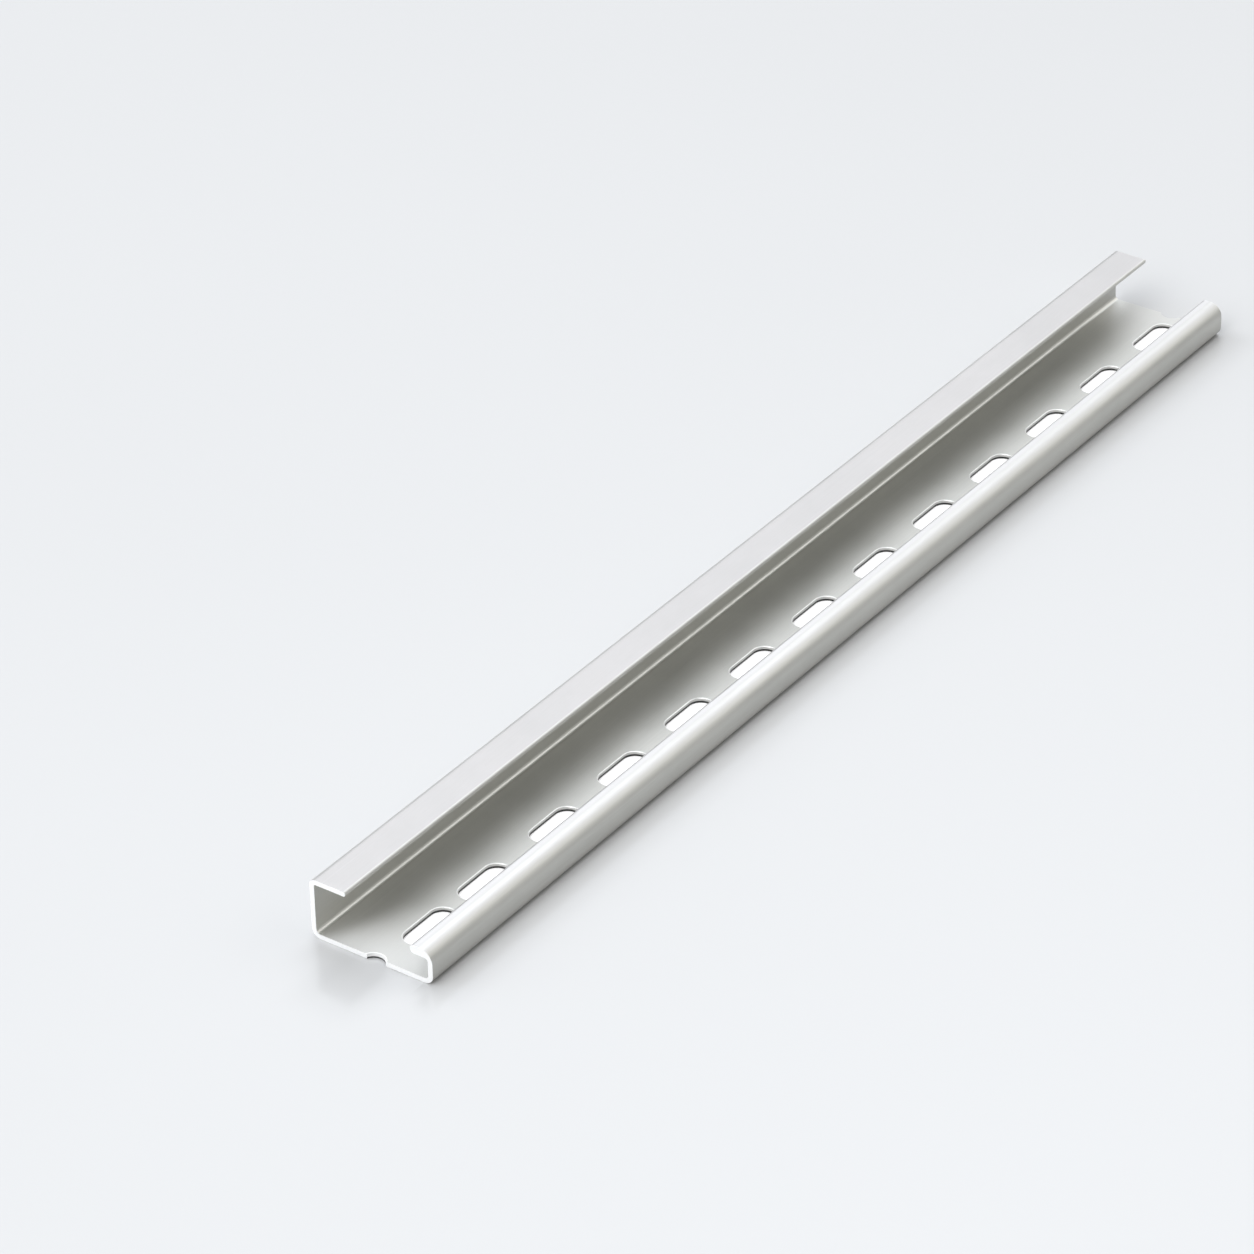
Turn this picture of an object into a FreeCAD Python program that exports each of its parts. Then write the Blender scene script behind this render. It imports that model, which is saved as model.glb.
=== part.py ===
import FreeCAD, Part
import math
import os

# G-profile mounting rail, one roll-formed steel strip, 32 x 15 mm, slotted web.
# X runs along the rail, Y across it (low flange at -Y, tall flange at +Y), Z up.
# The web lies flat on the floor, Z = 0 is its underside.

# ---- driving dimensions, mm ----
length = 333.0            # cut length
width = 32.0              # over the outer faces of the two flanges
height = 15.0             # tall flange
thickness = 1.2           # strip
tall_lip = 9.5            # inward lip on the tall flange, from its outer face
low_height = 8.6          # low flange
low_lip = 5.8             # inward lip on the low flange, from its outer face
hem = 2.2                 # the low lip is the strip folded flat on itself, twice its thickness
r_tall_top = 1.6          # outer bend radii
r_tall_foot = 2.4
r_low_foot = 2.2
r_low_top = 3.4
r_hem_root = 0.8          # under the low lip, where the fold meets the flange
r_edge = 0.45             # dressed edges of the strip

slot_width = 6.2
slot_length = 15.0
slot_row_y = 12.4         # centre line of the slots, from the low flange's outer face
slot_margin = 15.5        # first slot centre from the -X end
slot_pitch = 26.0
first_pitch = 19.5        # the gap next to the -X end is shorter
slot_count = 13
rim = 0.16                # rounding of the punched rim on the upper face

notch_radius = 2.8        # part of a hole left in both cut ends of the web
notch_depth = 1.5
notch_y = 14.9            # from the low flange's outer face


def rounded_outline(points):
    """Closed wire in the YZ plane from (y, z, radius) corners."""
    count = len(points)
    entries, exits, mids = [], [], []
    for i in range(count):
        y, z, r = points[i]
        py, pz, _ = points[i - 1]
        ny, nz, _ = points[(i + 1) % count]
        corner = FreeCAD.Vector(0, y, z)
        to_prev = FreeCAD.Vector(0, py - y, pz - z).normalize()
        to_next = FreeCAD.Vector(0, ny - y, nz - z).normalize()
        half = to_prev.getAngle(to_next) / 2
        reach = r / math.tan(half)
        bisector = (to_prev + to_next).normalize()
        centre = corner + bisector * (r / math.sin(half))
        entries.append(corner + to_prev * reach)
        exits.append(corner + to_next * reach)
        mids.append(centre - bisector * r)
    edges = []
    for i in range(count):
        edges.append(Part.Arc(entries[i], mids[i], exits[i]).toShape())
        start, stop = exits[i], entries[(i + 1) % count]
        if start.distanceToPoint(stop) > 1e-6:
            edges.append(Part.makeLine(start, stop))
    return Part.Wire(edges)


t = thickness
section = rounded_outline([
    (width - tall_lip, height, r_edge),
    (width, height, r_tall_top),
    (width, 0, r_tall_foot),
    (0, 0, r_low_foot),
    (0, low_height, r_low_top),
    (low_lip, low_height, hem / 2),
    (low_lip, low_height - hem, hem / 2),
    (t, low_height - hem, r_hem_root),
    (t, t, r_low_foot - t),
    (width - t, t, r_tall_foot - t),
    (width - t, height - t, r_tall_top - t),
    (width - tall_lip, height - t, r_edge),
])
rail = Part.Face(section).extrude(FreeCAD.Vector(length, 0, 0))

# slot centres along X, from the -X end
centres = [slot_margin, slot_margin + first_pitch]
while len(centres) < slot_count:
    centres.append(centres[-1] + slot_pitch)

r = slot_width / 2
straight = slot_length / 2 - r
for x in centres:
    tool = Part.makeBox(2 * straight, slot_width, 3 * t,
                        FreeCAD.Vector(x - straight, slot_row_y - r, -t))
    for side in (-1, 1):
        tool = tool.fuse(Part.makeCylinder(r, 3 * t,
                         FreeCAD.Vector(x + side * straight, slot_row_y, -t)))
    rail = rail.cut(tool.removeSplitter())

for x in (-(notch_radius - notch_depth), length + notch_radius - notch_depth):
    rail = rail.cut(Part.makeCylinder(notch_radius, 3 * t,
                    FreeCAD.Vector(x, notch_y, -t)))

# slightly drawn-in rim round each slot on the web's upper face
rims = []
for edge in rail.Edges:
    box = edge.BoundBox
    if abs(box.ZMin - t) < 1e-6 and abs(box.ZMax - t) < 1e-6:
        if box.YMin > slot_row_y - r - 0.01 and box.YMax < slot_row_y + r + 0.01:
            if box.XMin > 0.5 and box.XMax < length - 0.5 and box.XLength < 2 * straight + 0.01:
                if min(abs(box.Center.x - x) for x in centres) < slot_length / 2:
                    rims.append(edge)
rail = rail.makeFillet(rim, rims)

rail.translate(FreeCAD.Vector(-length / 2, -width / 2, 0))
rail = rail.removeSplitter()
assert rail.isValid() and len(rail.Solids) == 1
rail = rail.Solids[0]

os.makedirs("parts", exist_ok=True)
rail.exportStep("parts/slotted_rail.step")
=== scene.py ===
import math

import bpy
from mathutils import Matrix, Vector

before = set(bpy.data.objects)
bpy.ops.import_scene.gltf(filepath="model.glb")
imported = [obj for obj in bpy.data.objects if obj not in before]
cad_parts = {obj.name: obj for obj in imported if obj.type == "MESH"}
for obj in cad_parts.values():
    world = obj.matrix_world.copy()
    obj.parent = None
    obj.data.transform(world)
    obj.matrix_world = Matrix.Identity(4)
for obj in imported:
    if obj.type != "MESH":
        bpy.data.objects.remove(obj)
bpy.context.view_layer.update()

scene = bpy.context.scene
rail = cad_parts["slotted_rail"]
HALF = 0.1665   # half the rail's length
SKIN = 0.0012   # strip thickness

# ---------------------------------------------------------------- camera
CAM_AT = Vector((-0.846737, -0.552980, 0.639787))
CAM_ROWS = ((0.5733038, 0.4474964, -0.6863452),
            (-0.8192107, 0.2980211, -0.4899769),
            (-0.0147175, 0.8431669, 0.5374504))
LENS = 147.531

cam_data = bpy.data.cameras.new("camera")
cam_data.sensor_fit = "HORIZONTAL"
cam_data.sensor_width = 36.0
cam_data.lens = LENS
cam_data.clip_start = 0.01
cam_data.clip_end = 100.0
cam = bpy.data.objects.new("camera", cam_data)
scene.collection.objects.link(cam)
rot = Matrix(CAM_ROWS)
cam.matrix_world = Matrix.Translation(CAM_AT) @ rot.to_4x4()
scene.camera = cam


# ---------------------------------------------------------------- node helpers
def material(name):
    m = bpy.data.materials.new(name)
    m.use_nodes = True
    m.node_tree.nodes.clear()
    return m


class Net:
    def __init__(self, tree):
        self.tree = tree

    def add(self, kind, **values):
        node = self.tree.nodes.new(kind)
        for key, value in values.items():
            setattr(node, key, value)
        return node

    def link(self, a, b):
        self.tree.links.new(a, b)

    def put(self, socket, value):
        if isinstance(value, (int, float, tuple, list)):
            socket.default_value = value
        else:
            self.link(value, socket)

    def math(self, op, a, b=None, c=None, clamp=False):
        node = self.add("ShaderNodeMath", operation=op, use_clamp=clamp)
        for socket, value in zip(node.inputs, (a, b, c)):
            if value is not None:
                self.put(socket, value)
        return node.outputs[0]

    def noise(self, vector, scale=1.0, detail=3.0, rough=0.5, dims="3D"):
        node = self.add("ShaderNodeTexNoise", noise_dimensions=dims)
        self.link(vector, node.inputs["Vector"])
        node.inputs["Scale"].default_value = scale
        node.inputs["Detail"].default_value = detail
        node.inputs["Roughness"].default_value = rough
        return node.outputs["Fac"]

    def scaled(self, vector, xyz):
        node = self.add("ShaderNodeVectorMath", operation="MULTIPLY")
        self.link(vector, node.inputs[0])
        node.inputs[1].default_value = xyz
        return node.outputs[0]

    def ramp(self, value, lo, hi, out_lo=0.0, out_hi=1.0, smooth=True):
        node = self.add("ShaderNodeMapRange")
        node.interpolation_type = "SMOOTHSTEP" if smooth else "LINEAR"
        self.link(value, node.inputs["Value"])
        node.inputs["From Min"].default_value = lo
        node.inputs["From Max"].default_value = hi
        node.inputs["To Min"].default_value = out_lo
        node.inputs["To Max"].default_value = out_hi
        return node.outputs["Result"]

    def gate(self, value, lo, hi):
        """1 where lo < value < hi, else 0"""
        return self.math("MULTIPLY", self.math("GREATER_THAN", value, lo), self.math("LESS_THAN", value, hi))

    def both(self, *values):
        result = values[0]
        for value in values[1:]:
            result = self.math("MULTIPLY", result, value)
        return result

    def mix(self, factor, a, b, blend="MIX"):
        node = self.add("ShaderNodeMix", data_type="RGBA", blend_type=blend)
        self.put(node.inputs[0], factor)
        self.put(node.inputs[6], a)
        self.put(node.inputs[7], b)
        return node.outputs[2]


# ---------------------------------------------------------------- zinc-plated strip
def zinc():
    m = material("zinc_steel")
    n = Net(m.node_tree)
    out = n.add("ShaderNodeOutputMaterial")
    bsdf = n.add("ShaderNodeBsdfPrincipled")
    n.link(bsdf.outputs[0], out.inputs[0])
    coords = n.add("ShaderNodeTexCoord")
    here = coords.outputs["Object"]
    place = n.add("ShaderNodeSeparateXYZ")
    n.link(here, place.inputs[0])
    px, py, pz = place.outputs
    facing = n.add("ShaderNodeSeparateXYZ")
    n.link(coords.outputs["Normal"], facing.inputs[0])
    nx = n.math("ABSOLUTE", facing.outputs[0])
    nz = n.math("ABSOLUTE", facing.outputs[2])
    ax = n.math("ABSOLUTE", px)

    # where the strip was cut: the two sheared ends, and the punched walls of the slots and end notches
    cut_end = n.both(n.ramp(nx, 0.90, 0.98), n.math("GREATER_THAN", ax, HALF - 0.0008))
    in_row = n.both(n.gate(py, -0.0070, 0.0022), n.math("LESS_THAN", pz, SKIN + 0.00005))
    punched = n.both(in_row, n.ramp(nz, 0.45, 0.15), n.math("SUBTRACT", 1.0, cut_end))
    at_notch = n.math("GREATER_THAN", ax, HALF - 0.0020)
    # painted highlight: a bright line along the upper rims of the slots and notches
    rim_highlight = n.both(in_row, n.math("GREATER_THAN", pz, SKIN - 0.0002), n.gate(nz, 0.08, 0.985))
    # distance from the nearest slot's outline, on the web's face: 26 mm pitch, 19.5 mm to the first one
    first = n.math("LESS_THAN", px, -0.14125)
    step = n.math("DIVIDE", n.math("ADD", px, 0.1315), 0.026)
    step = n.math("ABSOLUTE", n.math("SUBTRACT", step, n.math("ROUND", step)))
    along = n.math("MULTIPLY", step, 0.026)
    along_first = n.math("ABSOLUTE", n.math("ADD", px, 0.151))
    along = n.math("ADD", n.math("MULTIPLY", along, n.math("SUBTRACT", 1.0, first)), n.math("MULTIPLY", along_first, first))
    along = n.math("MAXIMUM", n.math("SUBTRACT", along, 0.0044), 0.0)
    across = n.math("ADD", py, 0.0036)
    outline = n.math("SQRT", n.math("ADD", n.math("MULTIPLY", along, along), n.math("MULTIPLY", across, across)))
    # painted highlight: a thin bright band on the web's face just outside each slot's rim
    rim_highlight_band = n.both(n.gate(outline, 0.0030, 0.0031 + 0.00016 + 0.00012), n.gate(pz, SKIN - 0.00005, SKIN + 0.00005),
                     n.math("GREATER_THAN", nz, 0.9), n.math("LESS_THAN", ax, 0.164))
    rim_highlight = n.math("MAXIMUM", rim_highlight, rim_highlight_band)
    # painted highlight: a bright line round the near end's notch only; its hole's centre lies 1.3 mm outside the cut
    off_x = n.math("SUBTRACT", ax, HALF + 0.0013)
    off_y = n.math("ADD", py, 0.0011)
    far = n.math("SQRT", n.math("ADD", n.math("MULTIPLY", off_x, off_x), n.math("MULTIPLY", off_y, off_y)))
    notch_highlight_ring = n.both(n.math("LESS_THAN", far, 0.00312), n.gate(pz, SKIN - 0.00005, SKIN + 0.00005), n.math("GREATER_THAN", nz, 0.9), n.math("LESS_THAN", px, 0.0))
    # bare steel of the sheared ends, plus the painted highlight ring at the near notch
    bare_steel_and_highlight = n.math("MAXIMUM", cut_end, n.math("MULTIPLY", notch_highlight_ring, 0.9))
    # painted light: the web is painted lighter and more diffuse near each cut end, where light enters past the tall
    # flange's end
    inward = n.math("SUBTRACT", HALF, ax)
    reach = n.math("MULTIPLY_ADD", n.math("SUBTRACT", 0.015, py), 3.4, n.math("MULTIPLY", inward, -1.0))
    painted_end_light = n.both(n.ramp(reach, 0.0, 0.026), n.ramp(inward, 0.024, 0.002),
                  n.gate(pz, SKIN - 0.0001, SKIN + 0.0001), n.gate(py, -0.0145, 0.0147))
    # painted highlight: a lighter, smoother band in the inner bend at the tall flange's foot
    bend_highlight = n.both(n.gate(py, 0.0136, 0.0149), n.gate(pz, SKIN + 0.00006, SKIN + 0.0009))
    # painted highlight: the folded low lip's flat top, rounded crown and hem nose are painted lighter
    fold_highlight = n.both(n.ramp(py, -0.0131, -0.0118), n.math("LESS_THAN", py, -0.0100), n.math("GREATER_THAN", pz, 0.0068))
    crown_highlight = n.both(n.ramp(py, -0.0155, -0.0143), n.ramp(py, -0.0122, -0.0136), n.math("GREATER_THAN", pz, 0.0050),
                   n.math("GREATER_THAN", facing.outputs[2], 0.1))
    nose_highlight = n.both(n.ramp(py, -0.0110, -0.0104), n.math("LESS_THAN", py, -0.0100), n.math("GREATER_THAN", pz, 0.0068))
    # painted shade: the low flange is painted a little darker towards its foot
    foot_painted_shade = n.both(n.math("LESS_THAN", py, -0.0157), n.ramp(pz, 0.0056, 0.0004))
    # painted highlight: the tall lip's free edge is painted lighter
    lip_edge_highlight = n.both(n.gate(py, 0.0064, 0.0070), n.math("GREATER_THAN", pz, 0.0138))

    # mill grain along the strip, slow clouds of the plating, a few long handling marks
    cloud = n.noise(here, 34.0, 4.0, 0.55)
    patch = n.noise(here, 150.0, 3.0, 0.5)
    grain = n.noise(n.scaled(here, (14.0, 2600.0, 2600.0)), 1.0, 3.0, 0.6)
    fine = n.noise(n.scaled(here, (260.0, 5200.0, 5200.0)), 1.0, 2.0, 0.6)
    speck = n.noise(here, 5200.0, 2.0, 0.5)
    marks = n.noise(n.scaled(here, (22.0, 900.0, 900.0)), 1.0, 1.0, 0.4)
    marks = n.ramp(marks, 0.70, 0.76)

    # wear and painted highlight: edges found by the bevel are painted lighter and smoother
    edge = n.add("ShaderNodeBevel")
    edge.samples = 4
    edge.inputs["Radius"].default_value = 0.00018
    geometry = n.add("ShaderNodeNewGeometry")
    near = n.add("ShaderNodeVectorMath", operation="DOT_PRODUCT")
    n.link(edge.outputs[0], near.inputs[0])
    n.link(geometry.outputs["Normal"], near.inputs[1])
    wear_and_edge_highlight = n.ramp(near.outputs["Value"], 0.995, 0.90)
    wear_and_edge_highlight = n.math("MULTIPLY", wear_and_edge_highlight, n.ramp(patch, 0.30, 0.60, 0.45, 1.0))

    tone = n.ramp(cloud, 0.3, 0.7)
    colour = n.mix(tone, (0.592, 0.594, 0.568, 1), (0.636, 0.636, 0.609, 1))
    colour = n.mix(n.ramp(grain, 0.25, 0.75, 0.0, 0.14), colour, (0.50, 0.50, 0.475, 1))
    colour = n.mix(n.ramp(patch, 0.35, 0.75, 0.0, 0.08), colour, (0.72, 0.72, 0.70, 1))
    colour = n.mix(n.math("MULTIPLY", marks, 0.10), colour, (0.78, 0.78, 0.765, 1))
    # painted shade: the punched slot walls are coloured near black towards their foot, and the notch walls are light
    # above and near black at the foot
    wall_painted_shade = n.mix(n.ramp(pz, 0.00038, 0.00070), (0.006, 0.006, 0.006, 1), (0.50, 0.50, 0.485, 1))
    notch_wall_painted_shade = n.mix(n.ramp(pz, 0.00030, 0.00045), (0.04, 0.04, 0.038, 1), (0.90, 0.90, 0.89, 1))
    wall_painted_shade = n.mix(at_notch, wall_painted_shade, notch_wall_painted_shade)
    colour = n.mix(punched, colour, wall_painted_shade)
    # painted highlight on the slot and notch rims
    colour = n.mix(n.math("MULTIPLY", rim_highlight, 0.9), colour, (0.92, 0.92, 0.905, 1))
    # painted shade: the lip's top face is painted a little darker and cooler than the inside of the channel
    lip_top_painted_shade = n.both(n.math("GREATER_THAN", pz, 0.0149), n.math("GREATER_THAN", nz, 0.9))
    colour = n.mix(lip_top_painted_shade, colour, (0.928, 0.908, 0.938, 1), blend="MULTIPLY")
    colour = n.mix(n.math("MULTIPLY", lip_edge_highlight, 0.35), colour, (0.76, 0.76, 0.74, 1))
    colour = n.mix(n.math("MULTIPLY", crown_highlight, 0.9), colour, (0.645, 0.642, 0.635, 1))
    colour = n.mix(n.math("MULTIPLY", fold_highlight, 0.9), colour, (0.68, 0.672, 0.672, 1))
    colour = n.mix(n.math("MULTIPLY", nose_highlight, 0.9), colour, (0.83, 0.822, 0.82, 1))
    colour = n.mix(n.math("MULTIPLY", foot_painted_shade, 0.42), colour, (0.36, 0.355, 0.335, 1))
    colour = n.mix(n.math("MULTIPLY", bend_highlight, 0.45), colour, (0.82, 0.82, 0.79, 1))
    colour = n.mix(n.math("MULTIPLY", painted_end_light, 0.5), colour, (0.78, 0.785, 0.78, 1))
    wear_and_edge_highlight = n.math("MULTIPLY", wear_and_edge_highlight, n.math("SUBTRACT", 1.0, n.math("MULTIPLY", punched, 0.85)))
    colour = n.mix(n.math("MULTIPLY", wear_and_edge_highlight, 0.45), colour, (0.84, 0.84, 0.83, 1))
    colour = n.mix(bare_steel_and_highlight, colour, n.mix(n.ramp(speck, 0.3, 0.7), (0.96, 0.96, 0.955, 1), (0.99, 0.99, 0.985, 1)))
    n.link(colour, bsdf.inputs["Base Color"])

    rough = n.ramp(cloud, 0.25, 0.75, 0.47, 0.53)
    rough = n.math("ADD", rough, n.ramp(fine, 0.3, 0.7, -0.03, 0.03))
    rough = n.math("SUBTRACT", rough, n.math("MULTIPLY", rim_highlight, 0.14))
    rough = n.math("SUBTRACT", rough, n.math("MULTIPLY", wear_and_edge_highlight, 0.10))
    rough = n.math("SUBTRACT", rough, n.math("MULTIPLY", bare_steel_and_highlight, 0.16))
    rough = n.math("SUBTRACT", rough, n.math("MULTIPLY", bend_highlight, 0.12))
    rough = n.math("ADD", rough, n.math("MULTIPLY", painted_end_light, 0.35))
    n.link(rough, bsdf.inputs["Roughness"])
    metal = n.math("SUBTRACT", 0.85, n.math("MULTIPLY", painted_end_light, 0.45))
    metal = n.math("SUBTRACT", metal, n.math("MULTIPLY", bare_steel_and_highlight, 0.70))
    metal = n.math("MULTIPLY", metal, n.math("SUBTRACT", 1.0, n.math("MULTIPLY", punched, 0.9)))
    n.link(metal, bsdf.inputs["Metallic"])

    lift = n.math("MULTIPLY", grain, 0.6)
    lift = n.math("ADD", lift, n.math("MULTIPLY", fine, 0.3))
    lift = n.math("ADD", lift, n.math("MULTIPLY", speck, 0.25))
    lift = n.math("SUBTRACT", lift, n.math("MULTIPLY", marks, 0.3))
    bump = n.add("ShaderNodeBump")
    bump.inputs["Strength"].default_value = 0.25
    bump.inputs["Distance"].default_value = 0.00003
    n.link(lift, bump.inputs["Height"])
    n.link(bump.outputs[0], bsdf.inputs["Normal"])
    return m


def floor_material():
    m = material("floor")
    n = Net(m.node_tree)
    out = n.add("ShaderNodeOutputMaterial")
    bsdf = n.add("ShaderNodeBsdfPrincipled")
    n.link(bsdf.outputs[0], out.inputs[0])
    coords = n.add("ShaderNodeTexCoord")
    here = coords.outputs["Object"]
    place = n.add("ShaderNodeSeparateXYZ")
    n.link(here, place.inputs[0])
    # painted light: the strip of floor under the web is painted brighter and glows, standing in for light through the
    # slots
    slot_light_glow = n.both(n.math("LESS_THAN", n.math("ABSOLUTE", place.outputs[0]), HALF - 0.002),
                   n.gate(place.outputs[1], -0.0135, 0.0135))
    soft = n.noise(here, 3.0, 2.0, 0.5)
    colour = n.mix(n.ramp(soft, 0.3, 0.7), (0.602, 0.606, 0.609, 1), (0.611, 0.615, 0.618, 1))
    # painted shadow: the strip along the low flange's foot is painted a little darker
    floor_foot_shadow = n.both(n.ramp(place.outputs[1], -0.0285, -0.0165), n.math("LESS_THAN", place.outputs[1], -0.0137),
                     n.ramp(n.math("ABSOLUTE", place.outputs[0]), HALF + 0.006, HALF - 0.001))
    # painted shadow: a soft darker patch in front of the near cut end
    floor_end_shadow = n.both(n.ramp(place.outputs[0], -HALF - 0.026, -HALF - 0.004), n.math("LESS_THAN", place.outputs[0], 0.0),
                    n.ramp(place.outputs[1], -0.013, -0.004), n.ramp(place.outputs[1], 0.011, 0.003))
    colour = n.mix(n.math("MULTIPLY", floor_foot_shadow, 0.12), colour, (0.0, 0.0, 0.0, 1))
    colour = n.mix(n.math("MULTIPLY", floor_end_shadow, 0.12), colour, (0.0, 0.0, 0.0, 1))
    colour = n.mix(slot_light_glow, colour, (0.97, 0.97, 0.97, 1))
    n.link(colour, bsdf.inputs["Base Color"])
    # painted light: the strip under the web glows
    bsdf.inputs["Emission Color"].default_value = (1, 1, 1, 1)
    n.link(n.math("MULTIPLY", slot_light_glow, 0.30), bsdf.inputs["Emission Strength"])
    bsdf.inputs["Roughness"].default_value = 0.15
    bsdf.inputs["Specular IOR Level"].default_value = 0.45
    return m


zinc_steel = zinc()
rail.data.materials.clear()
rail.data.materials.append(zinc_steel)
for face in rail.data.polygons:
    face.material_index = 0

# ---------------------------------------------------------------- floor
mesh = bpy.data.meshes.new("floor")
size = 12.0
mesh.from_pydata([(-size, -size, 0), (size, -size, 0), (size, size, 0), (-size, size, 0)], [], [(0, 1, 2, 3)])
floor = bpy.data.objects.new("floor", mesh)
scene.collection.objects.link(floor)
floor.data.materials.append(floor_material())
floor.location.z = -0.00005

# ---------------------------------------------------------------- light: a pale studio dome with soft broad lamps in it
# azimuth, elevation (degrees), peak radiance, colour
LAMPS = (
    (12, 60, 2.10, (0.965, 0.99, 1.03)),
    (120, 30, 2.80, (0.93, 0.985, 1.07)),
    (37, 45, 1.35, (0.96, 0.99, 1.04)),
    (37, 62, 1.15, (0.96, 0.99, 1.04)),
    (60, 10, 0.60, (0.965, 0.99, 1.03)),
    (-30, 35, 1.50, (1.0, 0.985, 0.94)),
    (-60, 30, 0.78, (1.0, 0.985, 0.94)),
    (180, 42, 5.40, (1.0, 1.0, 1.0)),
    (180, 3, 0.25, (0.98, 0.99, 1.01)),
    (160, 60, 1.20, (0.965, 0.99, 1.03)),
    (75, 3, 0.30, (0.98, 0.99, 1.01)),
    (105, 3, 0.30, (0.98, 0.99, 1.01)),
)
FILL = (0.2, 0.2, 0.2)
WIDTH = 18.0

world = bpy.data.worlds.new("world")
world.use_nodes = True
world.node_tree.nodes.clear()
n = Net(world.node_tree)
world_out = n.add("ShaderNodeOutputWorld")
background = n.add("ShaderNodeBackground")
n.link(background.outputs[0], world_out.inputs[0])
coords = n.add("ShaderNodeTexCoord")
toward = n.add("ShaderNodeVectorMath", operation="NORMALIZE")
n.link(coords.outputs["Generated"], toward.inputs[0])
total = None
for azimuth, elevation, radiance, tint in LAMPS:
    a, e = math.radians(azimuth), math.radians(elevation)
    cosine = n.add("ShaderNodeVectorMath", operation="DOT_PRODUCT")
    n.link(toward.outputs[0], cosine.inputs[0])
    cosine.inputs[1].default_value = (math.cos(e) * math.cos(a), math.cos(e) * math.sin(a), math.sin(e))
    glow = n.math("SUBTRACT", cosine.outputs["Value"], 1.0)
    glow = n.math("EXPONENT", n.math("MULTIPLY", glow, WIDTH))
    tinted = n.add("ShaderNodeVectorMath", operation="SCALE")
    tinted.inputs[0].default_value = [c * radiance for c in tint]
    n.link(glow, tinted.inputs["Scale"])
    joined = n.add("ShaderNodeVectorMath", operation="ADD")
    n.link(tinted.outputs[0], joined.inputs[0])
    if total is None:
        joined.inputs[1].default_value = FILL
    else:
        n.link(total, joined.inputs[1])
    total = joined.outputs[0]
n.link(total, background.inputs["Color"])
background.inputs["Strength"].default_value = 1.0
scene.world = world
scene.view_settings.view_transform = "Standard"
